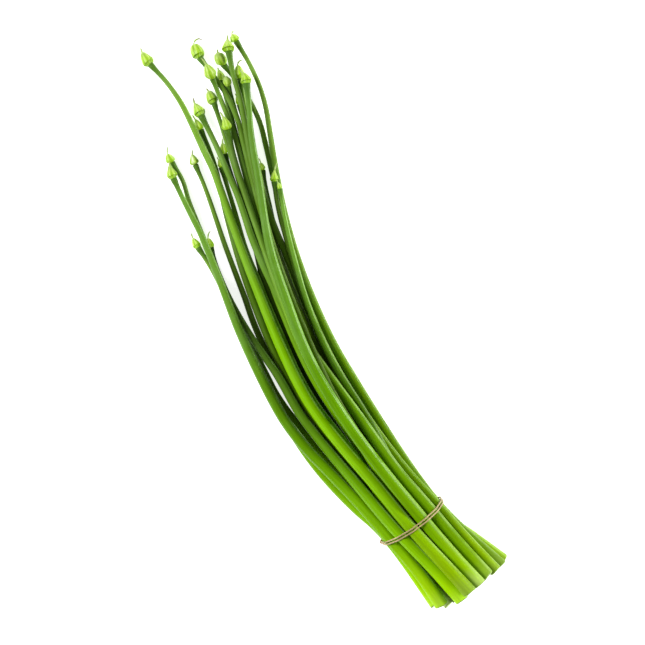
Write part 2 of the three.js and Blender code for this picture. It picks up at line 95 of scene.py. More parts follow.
@dataclass(frozen=True)
class Wire:
    """The output of a node, with arithmetic on numbers: each operation adds a Math node.

    Args:
        recipe: the material's nodes.
        socket: the output.
    """

    recipe: "Recipe"
    socket: bpy.types.NodeSocket

    def _maths(self, operation: str, first: Any, second: Any) -> "Wire":
        """One Math node on two values."""
        return self.recipe.node("ShaderNodeMath", {"operation": operation}, {0: first, 1: second})

    def __add__(self, other: Any) -> "Wire":
        """self + other"""
        return self._maths("ADD", self, other)

    def __radd__(self, other: Any) -> "Wire":
        """other + self"""
        return self._maths("ADD", other, self)

    def __sub__(self, other: Any) -> "Wire":
        """self - other"""
        return self._maths("SUBTRACT", self, other)

    def __rsub__(self, other: Any) -> "Wire":
        """other - self"""
        return self._maths("SUBTRACT", other, self)

    def __mul__(self, other: Any) -> "Wire":
        """self * other"""
        return self._maths("MULTIPLY", self, other)

    def __rmul__(self, other: Any) -> "Wire":
        """other * self"""
        return self._maths("MULTIPLY", other, self)


class Recipe:
    """The nodes of one material round a Principled shader.

    Args:
        name: the material's name.
        steady: values of the shader's own sockets that are the same all over.
    """

    def __init__(self, name: str, steady: dict[str, Any]) -> None:
        """Makes the material with its shader and output."""
        self.material = bpy.data.materials.new(name)
        self.material.use_nodes = True
        self.tree = self.material.node_tree
        self.shader = self.tree.nodes["Principled BSDF"]
        for socket, value in steady.items():
            self.shader.inputs[socket].default_value = value

    def node(self, kind: str, settings: dict[str, Any], sockets: dict[Any, Any], output: Any = 0) -> Wire:
        """Adds a node.

        Args:
            kind: the node's type.
            settings: its properties, with "stops" for a ramp's (place, colour) pairs.
            sockets: values or wires for its inputs, by name or index.
            output: which output to use.

        Returns:
            The wire from that output.
        """
        made = self.tree.nodes.new(kind)
        for key, value in settings.items():
            if key == "stops":
                self._set_stops(made.color_ramp, value)
            else:
                setattr(made, key, value)
        for key, value in sockets.items():
            if isinstance(value, Wire):
                self.tree.links.new(value.socket, made.inputs[key])
            else:
                made.inputs[key].default_value = value
        return Wire(self, made.outputs[output])

    @staticmethod
    def _set_stops(ramp: bpy.types.ColorRamp, stops: list[tuple[float, Colour]]) -> None:
        """Gives a ramp its stops.

        Args:
            ramp: the ramp.
            stops: places from 0 to 1, each with its colour.
        """
        while len(ramp.elements) < len(stops):
            ramp.elements.new(1.0)
        for element, (place, colour) in zip(ramp.elements, stops):
            element.position = place
            element.color = (*colour, 1.0)

    def attribute(self, name: str, output: str = "Fac") -> Wire:
        """The wire of a mesh attribute."""
        return self.node("ShaderNodeAttribute", {"attribute_name": name}, {}, output)

    def noise(self, where: Wire, scale: float, detail: float = 2.0, rough: float = 0.5) -> Wire:
        """Noise from 0 to 1 over a vector."""
        sockets = {"Vector": where, "Scale": scale, "Detail": detail, "Roughness": rough}
        return self.node("ShaderNodeTexNoise", {}, sockets, "Fac")

    def ramp(self, factor: Wire, stops: list[tuple[float, Colour]]) -> Wire:
        """Colours by a value from 0 to 1."""
        return self.node("ShaderNodeValToRGB", {"stops": stops}, {"Fac": factor}, "Color")

    def fit(self, value: Wire, low: float, high: float, start: float = 0.0, end: float = 1.0) -> Wire:
        """Takes low..high of a value to start..end, eased and held at both ends."""
        sockets = {"Value": value, "From Min": low, "From Max": high, "To Min": start, "To Max": end}
        return self.node("ShaderNodeMapRange", {"interpolation_type": "SMOOTHSTEP"}, sockets, "Result")

    def mix(self, factor: Any, first: Any, second: Any, blend: str = "MIX") -> Wire:
        """Mixes two colours.

        Args:
            factor: the second's share, as a number or a wire.
            first: a colour or a wire.
            second: a colour or a wire.
            blend: the way of mixing.

        Returns:
            The wire of the mixed colour.
        """
        first, second = ((*c, 1.0) if isinstance(c, tuple) else c for c in (first, second))
        settings = {"data_type": "RGBA", "blend_type": blend, "clamp_factor": True}
        return self.node("ShaderNodeMix", settings, {0: factor, 6: first, 7: second}, 2)

    def stretch(self, where: Wire, scale: Triple) -> Wire:
        """A vector times a fixed one."""
        return self.node("ShaderNodeVectorMath", {"operation": "MULTIPLY"}, {0: where, 1: scale})

    def feed(self, socket: str, wire: Wire) -> None:
        """Links a wire to one of the shader's own sockets."""
        self.tree.links.new(wire.socket, self.shader.inputs[socket])

    def finish(self, colour: Wire, roughness: Wire, height: Wire, depth: float) -> bpy.types.Material:
        """Feeds the shader.

        Args:
            colour: the base colour.
            roughness: the roughness.
            height: a relief from 0 to 1.
            depth: how deep that relief is, in metres.

        Returns:
            The finished material.
        """
        sockets = {"Distance": depth, "Strength": 1.0, "Height": height}
        bump = self.node("ShaderNodeBump", {}, sockets, "Normal")
        for socket, wire in (("Base Color", colour), ("Roughness", roughness), ("Normal", bump)):
            self.feed(socket, wire)
        return self.material


@dataclass(frozen=True)
class StalkSkin:
    """A stalk's skin: pale yellow-green at the cut end, deep green at the top, with long faint streaks, a
    thin waxy bloom, and a pale moist cut face."""

    butt: Colour = (0.26, 0.46, 0.0)
    low: Colour = (0.163, 0.355, 0.0)
    middle: Colour = (0.126, 0.286, 0.0)
    high: Colour = (0.122, 0.25, 0.017)
    neck: Colour = (0.119, 0.232, 0.026)
    collar: Colour = (0.045, 0.12, 0.008)
    # painted highlight: the pale line along each stalk's keel
    keel_painted_highlight: Colour = (0.46, 0.70, 0.18)
    bloom: Colour = (0.30, 0.50, 0.19)
    pith: Colour = (0.66, 0.78, 0.34)
    dry: Colour = (0.44, 0.42, 0.16)
    green_stops: tuple[float, ...] = (0.0, 0.14, 0.44, 0.72, 1.0)
    streak_scale: Triple = (3.0, 3.0, 0.5)
    fibre_scale: Triple = (14.0, 14.0, 0.9)
    scuff_scale: Triple = (5.0, 5.0, 2.2)
    bundle_scale: Triple = (7.0, 7.0, 0.0)
    cloud_scale: float = 60.0
    roughness: tuple[float, float] = (0.34, 0.48)
    gloss: float = 0.3
    relief: float = 0.00003

    def make(self) -> bpy.types.Material:
        """Builds the material: the side's colour, the face's where the stalk is cut, and a glossy coat.

        Returns:
            The material.
        """
        recipe = Recipe("stalk_skin", {"Coat Roughness": 0.2, "Coat IOR": 1.5, "IOR": 1.12})
        grain = recipe.attribute("grain", "Vector")
        place = recipe.node("ShaderNodeTexCoord", {}, {}, "Object")
        streak = recipe.noise(recipe.stretch(grain, self.streak_scale), 1.0, 3.0, 0.6)
        fibre = recipe.noise(recipe.stretch(grain, self.fibre_scale), 1.0, 2.0, 0.6)
        cloud = recipe.noise(place, self.cloud_scale)
        side = self._side(recipe, grain, streak, fibre, cloud)
        colour = recipe.mix(recipe.attribute("cut"), side, self._face(recipe, grain, cloud))
        rough = recipe.fit(streak * 0.5 + cloud * 0.5, 0.35, 0.65, *self.roughness)
        recipe.feed("Coat Weight", self._coat(recipe))
        return recipe.finish(colour, rough, fibre * 0.6 + streak * 0.4, self.relief)

    def _side(self, recipe: Recipe, grain: Wire, streak: Wire, fibre: Wire, cloud: Wire) -> Wire:
        """The side's colour: greens by the place along the stalk, a painted highlight as a pale line on the
        keel, lighter and darker streaks, painted light and shade for each stalk, wax and scuffs, the pith's
        colour near the cut, and a dark collar under the bud.

        Args:
            recipe: the material's nodes.
            grain: the place on the stalk, round it and along it.
            streak: broad noise drawn out along the stalk.
            fibre: fine noise drawn out along the stalk.
            cloud: soft noise all over.

        Returns:
            The wire of the colour.
        """
        along, tone, warmth = (recipe.attribute(name) for name in ("along", "tone", "warmth"))
        shifted = along + (streak - 0.5) * 0.12 + (tone - 0.5) * 0.14
        greens = (self.butt, self.low, self.middle, self.high, self.neck)
        colour = recipe.ramp(shifted, list(zip(self.green_stops, greens)))
        # painted highlight: a pale line on the keel, which lies on each stalk's right side where the low
        # light grazes it
        keel = recipe.fit(recipe.attribute("keel"), 0.92, 0.99, 0.0, 0.42) * recipe.fit(cloud, 0.3, 0.5)
        colour = recipe.mix(keel, colour, self.keel_painted_highlight)
        shade = recipe.fit(streak, 0.3, 0.75, 0.86, 1.10) * recipe.fit(fibre, 0.3, 0.7, 0.94, 1.06)
        # painted light and shade: each stalk's colour is made lighter or darker by its own factor
        shade = shade * recipe.attribute("shade")
        tint = recipe.node("ShaderNodeCombineColor", {}, {0: shade * warmth, 1: shade, 2: shade})
        colour = recipe.mix(1.0, colour, tint, "MULTIPLY")
        # the bloom fades on stalks with deep painted shade
        wax = recipe.fit(cloud, 0.45, 0.75, 0.0, 0.12) * recipe.fit(along, 0.3, 0.75) * self._open(recipe)
        colour = recipe.mix(wax, colour, self.bloom)
        scuff = recipe.noise(recipe.stretch(grain, self.scuff_scale), 1.0, 4.0, 0.7)
        colour = recipe.mix(recipe.fit(scuff, 0.70, 0.80, 0.0, 0.35), colour, self.bloom)
        near_cut = recipe.fit(along + (streak - 0.5) * 0.02, 0.0, 0.045, 1.0, 0.0)
        colour = recipe.mix(near_cut * recipe.attribute("pale"), colour, self.pith)
        return recipe.mix(recipe.fit(along, 0.955, 0.995, 0.0, 0.75), colour, self.collar)

    def _face(self, recipe: Recipe, grain: Wire, cloud: Wire) -> Wire:
        """The cut face's colour: pith, greener towards its rim, with darker bundles in it, and a rim that has
        dried here and there.

        Args:
            recipe: the material's nodes.
            grain: the place on the stalk, round it and along it.
            cloud: soft noise all over.

        Returns:
            The wire of the colour.
        """
        core = recipe.attribute("core")
        face = recipe.mix(recipe.fit(core, 0.55, 0.95, 0.0, 0.75), self.pith, self.low)
        bundles = recipe.noise(recipe.stretch(grain, self.bundle_scale), 1.0, 1.0)
        face = recipe.mix(recipe.fit(bundles, 0.52, 0.66, 0.0, 0.5), face, self.middle)
        rim = recipe.fit(core, 0.93, 1.0, 0.0, 0.5) * recipe.fit(cloud, 0.40, 0.62)
        return recipe.mix(rim, face, self.dry)

    def _coat(self, recipe: Recipe) -> Wire:
        """The coat's weight: none where the skin faces the eye, most on the flanks, less at the foot and on
        shaded stalks.

        Args:
            recipe: the material's nodes.

        Returns:
            The wire of the weight.
        """
        facing = recipe.node("ShaderNodeLayerWeight", {}, {"Blend": 0.5}, "Facing")
        up_stalk = recipe.fit(recipe.attribute("along"), 0.05, 0.4, 0.12, 1.0)
        return recipe.fit(facing, 0.08, 0.26, 0.0, self.gloss) * up_stalk * self._open(recipe)

    def _open(self, recipe: Recipe) -> Wire:
        """How open a stalk is to the light, by its shade."""
        return recipe.fit(recipe.attribute("shade"), 0.2, 1.0, 0.15, 1.0)


@dataclass(frozen=True)
class BudSkin:
    """A bud's sheath: lime, with painted shade between its pleats and deeper green at its foot, fine veins
    from foot to beak, pale ribs with a painted highlight on the pleats' crests, and a beak that turns pale
    and then dry. A painted glow stands for the light that passes through it from below."""

    foot: Colour = (0.17, 0.37, 0.004)
    belly: Colour = (0.31, 0.54, 0.006)
    shoulder: Colour = (0.39, 0.58, 0.055)
    beak: Colour = (0.34, 0.48, 0.12)
    dark_vein_and_painted_shade: Colour = (0.15, 0.34, 0.004)
    pale_rib_and_painted_highlight: Colour = (0.72, 0.82, 0.36)
    inside: Colour = (0.80, 0.88, 0.62)
    dry: Colour = (0.17, 0.12, 0.05)
    lime_stops: tuple[float, ...] = (0.0, 0.16, 0.45, 0.72)
    vein_scale: Triple = (5.0, 5.0, 0.7)
    cloud_scale: float = 300.0
    roughness: tuple[float, float] = (0.34, 0.52)
    relief: float = 0.00014
    # painted light: how strongly the buds glow with their own colour
    through: float = 0.6

    def make(self) -> bpy.types.Material:
        """Builds the material: limes from foot to beak, painted shade between pleats, darker veins, paler
        ribs with a painted highlight on the pleats' crests, and a painted glow of the same colour for the
        light that comes through.

        Returns:
            The material.
        """
        coat = {"Coat Weight": 0.2, "Coat Roughness": 0.22, "Coat IOR": 1.4}
        recipe = Recipe("bud_skin", {**coat, "IOR": 1.3, "Emission Strength": self.through})
        along, pleat, gape, wilt, lit = (
            recipe.attribute(name) for name in ("along", "pleat", "gape", "wilt", "lit")
        )
        grain = recipe.attribute("grain", "Vector")
        place = recipe.node("ShaderNodeTexCoord", {}, {}, "Object")
        vein = recipe.noise(recipe.stretch(grain, self.vein_scale), 1.0, 2.0, 0.6)
        cloud = recipe.noise(place, self.cloud_scale)
        limes = (self.foot, self.belly, self.shoulder, self.beak)
        colour = recipe.ramp(along + (cloud - 0.5) * 0.12, list(zip(self.lime_stops, limes)))
        # painted shade: deeper green in the pleats' troughs
        colour = recipe.mix(recipe.fit(pleat, -0.15, -0.9, 0.0, 0.55), colour, self.dark_vein_and_painted_shade)
        colour = recipe.mix(recipe.fit(vein, 0.42, 0.30, 0.0, 0.55), colour, self.dark_vein_and_painted_shade)
        colour = recipe.mix(recipe.fit(vein, 0.56, 0.72, 0.0, 0.55), colour, self.pale_rib_and_painted_highlight)
        # painted highlight: paler on the pleats' crests
        colour = recipe.mix(recipe.fit(pleat, 0.55, 1.0, 0.0, 0.30), colour, self.pale_rib_and_painted_highlight)
        colour = recipe.mix(gape, colour, self.inside)
        colour = recipe.mix(wilt * recipe.fit(along, 0.72, 0.96, 0.0, 0.9), colour, self.dry)
        # painted glow: each bud gives off its own colour, as much as its share says
        recipe.feed("Emission Color", recipe.mix(lit, (0.0, 0.0, 0.0), colour))
        rough = recipe.fit(cloud, 0.3, 0.7, *self.roughness)
        return recipe.finish(colour, rough, vein, self.relief)


@dataclass(frozen=True)
class BandRubber:
    """The band's rubber: tan, with paler worn ridges, brown specks, and pinker where the strands cross."""

    tan: Colour = (0.30, 0.21, 0.075)
    worn: Colour = (0.50, 0.39, 0.18)
    dark: Colour = (0.13, 0.075, 0.028)
    pink: Colour = (0.34, 0.15, 0.075)
    speck_scale: Triple = (1.6, 1.6, 2.4)
    broad_scale: Triple = (0.7, 0.7, 0.25)
    roughness: tuple[float, float] = (0.42, 0.62)
    relief: float = 0.00006

    def make(self) -> bpy.types.Material:
        """Builds the material: tan and paler stretches, worn edges, brown specks, and pink at the crossing.

        Returns:
            The material.
        """
        recipe = Recipe("band_rubber", {"IOR": 1.5, "Coat Weight": 0.05, "Coat Roughness": 0.4})
        grain = recipe.attribute("grain", "Vector")
        speck = recipe.noise(recipe.stretch(grain, self.speck_scale), 1.0, 3.0, 0.7)
        broad = recipe.noise(recipe.stretch(grain, self.broad_scale), 1.0)
        colour = recipe.mix(recipe.fit(broad, 0.35, 0.65), self.tan, self.worn)
        colour = recipe.mix(recipe.fit(recipe.attribute("ridge"), 0.2, 1.0, 0.0, 0.6), colour, self.worn)
        colour = recipe.mix(recipe.fit(speck, 0.55, 0.72, 0.0, 0.8), colour, self.dark)
        colour = recipe.mix(recipe.attribute("cross"), colour, self.pink)
        rough = recipe.fit(speck, 0.3, 0.7, *self.roughness)
        return recipe.finish(colour, rough, speck, self.relief)


@dataclass
class Course:
    """A smooth line through points, with a half width at each.

    Args:
        points: the points, one row each.
        widths: the half widths there.
    """

    points: Array
    widths: Array
    steps: Array = field(init=False)

    def __post_init__(self) -> None:
        """Measures the way along the points."""
        gaps = np.linalg.norm(np.diff(self.points, axis=0), axis=1)
        self.steps = np.concatenate([[0.0], np.cumsum(gaps)])

    @property
    def length(self) -> float:
        """The length from the first point to the last."""
        return float(self.steps[-1])

    def at(self, way: Array) -> tuple[Array, Array, Array]:
        """Places along the line: a cubic between each two points. Its slope at a point is the mean of those
        to its two neighbours, with more weight on the nearer one.

        Args:
            way: distances from the first point.

        Returns:
            The places, the directions forward and the half widths.
        """
        rows = np.column_stack([self.points, self.widths])
        slopes = np.gradient(rows, self.steps, axis=0)
        k = np.clip(np.searchsorted(self.steps, way, side="right") - 1, 0, len(self.steps) - 2)
        span = (self.steps[k + 1] - self.steps[k])[:, None]
        t = ((way - self.steps[k])[:, None] / span).clip(0, 1)
        a, b, m, n = rows[k], rows[k + 1], slopes[k] * span, slopes[k + 1] * span
        value = (2 * t**3 - 3 * t**2 + 1) * a + (t**3 - 2 * t**2 + t) * m
        value += (3 * t**2 - 2 * t**3) * b + (t**3 - t**2) * n
        rate = (6 * t**2 - 6 * t) * (a - b) + (3 * t**2 - 4 * t + 1) * m + (3 * t**2 - 2 * t) * n
        ahead = rate[:, :3] / np.linalg.norm(rate[:, :3], axis=1, keepdims=True)
        return value[:, :3], ahead, value[:, 3]


@dataclass(frozen=True)
class RingReader:
    """Reads the rings of a swept solid from its CAD node: the solid has a pole at each end and rings of
    points between them, so a ring is what is the same number of edges away from a pole."""

    pole_edges: int = 8

    def welded(self, node: str) -> tuple[Array, Array]:
        """A node's points, each once, and its triangles.

        Args:
            node: the CAD node's name.

        Returns:
            The points and the triangles' corners.
        """
        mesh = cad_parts[node].data
        places = np.empty(len(mesh.vertices) * 3, np.float32)
        mesh.vertices.foreach_get("co", places)
        corners = np.empty(len(mesh.loops), np.int32)
        mesh.loops.foreach_get("vertex_index", corners)
        places = places.reshape(-1, 3).astype(float)
        _, first, where = np.unique(
            np.round(places / WELD).astype(np.int64), axis=0, return_index=True, return_inverse=True
        )
        return places[first], where.ravel()[corners].reshape(-1, 3)

    def read(self, node: str, near: Array) -> Course:
        """The middle of each ring and its half width, from the pole nearest to a place.

        Args:
            node: the CAD node's name.
            near: the place where the solid starts.

        Returns:
            The rings as a course.
        """
        points, corners = self.welded(node)
        edges = np.concatenate([corners[:, [0, 1]], corners[:, [1, 2]], corners[:, [2, 0]]])
        poles = np.flatnonzero(np.bincount(edges[:, 0]) == self.pole_edges)
        gaps = np.linalg.norm(points[poles] - near, axis=1)
        layer = np.full(len(points), -1)
        front = poles[[np.argmin(gaps)]]
        depth = 0
        while front.size:
            layer[front] = depth
            depth += 1
            reached = np.unique(edges[np.isin(edges[:, 0], front), 1])
            front = reached[layer[reached] < 0]
        count = np.bincount(layer)
        middle = np.stack([np.bincount(layer, points[:, i]) for i in range(3)], 1) / count[:, None]
        out = np.linalg.norm(points - middle[layer], axis=1)
        width = np.bincount(layer, out) / count
        return Course(middle[1:-1], width[1:-1])


def eased(value: Array, low: float, high: float) -> Array:
    """0 below low, 1 above high, and between them three times the share's square less twice its cube.

    Args:
        value: the values.
        low: where the step starts.
        high: where it ends.

    Returns:
        The steps, in the shape of the values.
    """
    t = ((value - low) / (high - low)).clip(0, 1)
    return t * t * (3 - 2 * t)


def round_angles(sides: int) -> Array:
    """Even angles once round, from straight down."""
    return np.linspace(-math.pi / 2, 1.5 * math.pi, sides, endpoint=False)


def grain_of(angle: Array, along: Array) -> Array:
    """Where each point is on a piece, for its noise: a place on a unit circle, and a distance along it.

    Args:
        angle: the angles round the piece.
        along: the distances along it, one for each row.

    Returns:
        A vector for each row and angle.
    """
    shape = (along.size, angle.size)
    circle = np.broadcast_to(np.stack([np.cos(angle), np.sin(angle)], -1), (*shape, 2))
    return np.concatenate([circle, np.broadcast_to(along[:, None, None], (*shape, 1))], -1)


@dataclass(frozen=True)
class Dress:
    """What makes an object of a mesh: it stands for a CAD node, moves with its body and has its finish.

    Args:
        name: the piece's name.
        node: the CAD node that it stands for.
        material: its finish.
        slot: the record's slot; not used.
    """

    name: str
    node: str
    material: bpy.types.Material
    slot: Slot

    def put_on(self, points: Array, faces: list[list[int]], values: dict[str, Array]) -> bpy.types.Object:
        """Makes the object.

        Args:
            points: its points, one row each.
            faces: the points round each face.
            values: what the material reads, by attribute name, a number or a vector for each point.

        Returns:
            The object.
        """
        mesh = bpy.data.meshes.new(self.name)
        mesh.from_pydata(points.tolist(), [], faces)
        mesh.polygons.foreach_set("use_smooth", np.ones(len(mesh.polygons), bool))
        for name, value in values.items():
            kind, key = ("FLOAT", "value") if value.shape[1] == 1 else ("FLOAT_VECTOR", "vector")
            places = mesh.attributes.new(name, kind, "POINT").data
            places.foreach_set(key, value.astype(np.float32).ravel())
        mesh.materials.append(self.material)
        mesh.update()
        piece = bpy.data.objects.new(self.name, mesh)
        bpy.context.scene.collection.objects.link(piece)
        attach(piece, "root")
        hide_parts(self.node)
        return piece


@dataclass
class Skin:
    """A closed surface on a grid: rows of points round a line, with a pole at each end.

    Args:
        rows: the points, by row and by place round the line.
        ends: the first pole and the last.
        values: what the materials read, by attribute name, in the shape of the rows.
    """

    rows: Array
    ends: tuple[Array, Array]
    values: dict[str, Array]

    def _faces(self) -> list[list[int]]:
        """Quads between each two rows, and triangles from each pole, all facing out.

        Returns:
            The points round each face.
        """
        high, wide = self.rows.shape[:2]
        here = 1 + np.arange((high - 1) * wide).reshape(-1, wide)
        beside = np.roll(here, -1, axis=1)
        quads = np.stack([here, beside, beside + wide, here + wide], -1).reshape(-1, 4)
        first = 1 + np.arange(wide)
        last = first + (high - 1) * wide
        foot = np.stack([np.zeros(wide, int), np.roll(first, -1), first], -1)
        head = np.stack([np.full(wide, high * wide + 1), last, np.roll(last, -1)], -1)
        return quads.tolist() + foot.tolist() + head.tolist()

    def build(self, dress: Dress) -> bpy.types.Object:
        """Makes the object. Points that would lie under the table are lifted onto it.

        Args:
            dress: what makes an object of its mesh.

        Returns:
            The object.
        """
        points = np.concatenate([[self.ends[0]], self.rows.reshape(-1, 3), [self.ends[1]]])
        points[:, 2] = points[:, 2].clip(0.0)
        whole = {}
        for name, value in self.values.items():
            flat = value.reshape(self.rows.shape[0] * self.rows.shape[1], -1)
            whole[name] = np.concatenate([flat[:1], flat, flat[-1:]])
        return dress.put_on(points, self._faces(), whole)


def swept(course: Course, way: Array, angle: Array, swell: Array, push: Array | float = 0.0) -> Array:
    """Points round a course: the place at a distance along it, plus its half width times the swell, out
    at an angle from its right towards its top, plus a push forward.

    Args:
        course: the line.
        way: distances along it, one for each row.
        angle: angles round it.
        swell: factors on the half width, by row and angle.
        push: metres forward, by row and angle.

    Returns:
        The points by row and angle.
    """
    place, ahead, width = course.at(way)
    right = np.cross(ahead, UP)
    right /= np.linalg.norm(right, axis=1, keepdims=True)
    above = np.cross(right, ahead)
    out = np.cos(angle)[None, :, None] * right[:, None] + np.sin(angle)[None, :, None] * above[:, None]
    shift = np.broadcast_to(push, swell.shape)[..., None] * ahead[:, None]
    return place[:, None] + out * (swell * width[:, None])[..., None] + shift


@dataclass
class Stalk:
    """One flower stalk: a long stem, a little oval and ribbed, with a cut face at its foot.

    Args:
        number: its number in the bunch.
        skin: its finish.
        rings: the rings of its CAD node.
        shade: painted light and shade, a factor on its colour beside the others, at its foot, half way and
        at its bud.
        pale: how much of the pith's colour its foot has.
        warmth: how much red is in its green beside the others, away from its foot.
    """

    number: int
    skin: bpy.types.Material
    rings: Course
    shade: Triple = EVEN_SHADE
    pale: float = PALE_FOOT
    warmth: float = 1.0
    sides: int = 32
    stations: int = 150
    fullness: float = 0.97
    oval: float = 0.035
    twist: float = 2.2
    ribs: float = 0.012
    waver: float = 0.012
    wavers: float = 3.1
    keel: float = 0.035
    keel_sharpness: int = 24
    keel_side: tuple[float, float] = (16, 32)
    flare: float = 0.30
    flare_length: float = 5.5 * MM
    rim: float = 1.3 * MM
    rim_share: float = 0.44
    dish: float = 0.5 * MM
    slant: float = 0.20
    rag: float = 0.035
    cut_reach: float = 6 * MM
    face: tuple[float, ...] = (0.12, 0.34, 0.56, 0.66, 0.76, 0.85, 0.92, 0.97, 0.99)
    grain_length: float = 12 * MM
    grain_apart: float = 7.3

    @property
    def name(self) -> str:
        """The name of its CAD node."""
        return f"stalk_{self.number:02d}"

    def _swell(self, angle: Array, share: Array, turn: Array, twist: Array) -> Array:
        """The factor on the half width: fullness, plus an oval that turns slowly along the stem, plus uneven
        ribs, plus a slow waver along it.

        Args:
            angle: the angles round it.
            share: the shares along it, as a column.
            turn: where its waves start.
            twist: how far its oval and its ribs turn.

        Returns:
            The factors by row and angle.
        """
        swell = self.fullness + self.oval * np.cos(2 * (angle - turn[0] - twist[0] * share))
        swell = swell + self.ribs * np.cos(5 * angle + turn[1] + twist[1] * share)
        swell = swell + 0.5 * self.ribs * np.cos(9 * angle + turn[2] - 2 * twist[1] * share)
        return swell + self.waver * np.cos(2 * math.pi * (self.wavers * share + turn[3]))

    def _push(self, angle: Array, way: Array, inward: Array, turn: Array, slant: float) -> Array:
        """How far the foot's rows lie forward: the cut's slant and its ragged waves, which fade out up the
        stem, and on the face the dish and the rounded rim.

        Args:
            angle: the angles round the stem.
            way: the distances along it.
            inward: how far out each row is, as a share, as a column.
            turn: where its waves start.
            slant: the slant's height, as a share of the half width.

        Returns:
            Metres forward, by row and angle.
        """
        width = self.rings.widths[0]
        near_cut = (1 - eased(way, 0.0, self.cut_reach)[:, None]) * inward
        waves = np.cos(2 * angle + turn[1]) + 0.5 * np.cos(3 * angle + turn[2])
        edge = ((inward - 1 + self.rim_share) / self.rim_share).clip(0)
        sunk = self.dish * (1 - inward**2) + self.rim * (1 - np.sqrt(1 - edge**2))
        push = width * near_cut * (slant * np.cos(angle - turn[4]) + self.rag * waves)
        return push + sunk * (way == 0)[:, None]

    def build(self) -> bpy.types.Object:
        """Makes the stem: its swell with one low keel and a flare below the bud, and at the foot rows that
        run in from the rim over a rounded edge to a dished face.

        Returns:
            The object.
        """
        draw = np.random.default_rng(SEED + self.number)
        turn = draw.uniform(0, 2 * math.pi, 5)
        twist = draw.uniform(-1, 1, 2) * self.twist
        side = math.radians(draw.uniform(*self.keel_side))
        slant = draw.uniform(0.3, 1.0) * self.slant
        angle = round_angles(self.sides)
        length = self.rings.length
        face = np.array(self.face)
        way = np.concatenate([np.zeros(face.size), np.linspace(self.rim, length, self.stations)])
        inward = np.concatenate([face, np.ones(self.stations)])[:, None]
        share = (way / length)[:, None]
        keel = np.cos(angle - side - 0.15 * twist[1] * share)
        swell = self._swell(angle, share, turn, twist) + self.keel * keel.clip(0) ** self.keel_sharpness
        swell = swell * (1 + self.flare * eased(way, length - self.flare_length, length)[:, None]) * inward
        rows = swept(self.rings, way, angle, swell, self._push(angle, way, inward, turn, slant))
        flat = np.ones_like(swell)
        tall = share * flat
        grain = grain_of(angle, way / self.grain_length)
        grain[: face.size, :, :2] *= face[:, None, None]
        grain[..., 2] += self.grain_apart * self.number
        values = {
            "along": tall,
            "tone": flat * draw.uniform(0, 1),
            # painted light and shade, from the foot through half way to the bud
            "shade": np.interp(tall, (0.0, 0.5, 1.0), self.shade),
            "pale": flat * self.pale,
            "warmth": 1 + (self.warmth - 1) * eased(tall, 0.1, 0.4),
            "keel": keel,
            "cut": (inward < face[-1]) * flat,
            "core": inward * flat,
            "grain": grain,
        }
        dress = Dress(f"{self.name}_stem", self.name, self.skin, Slot.STALK)
        return Skin(rows, (rows[0].mean(0), self.rings.points[-1]), values).build(dress)


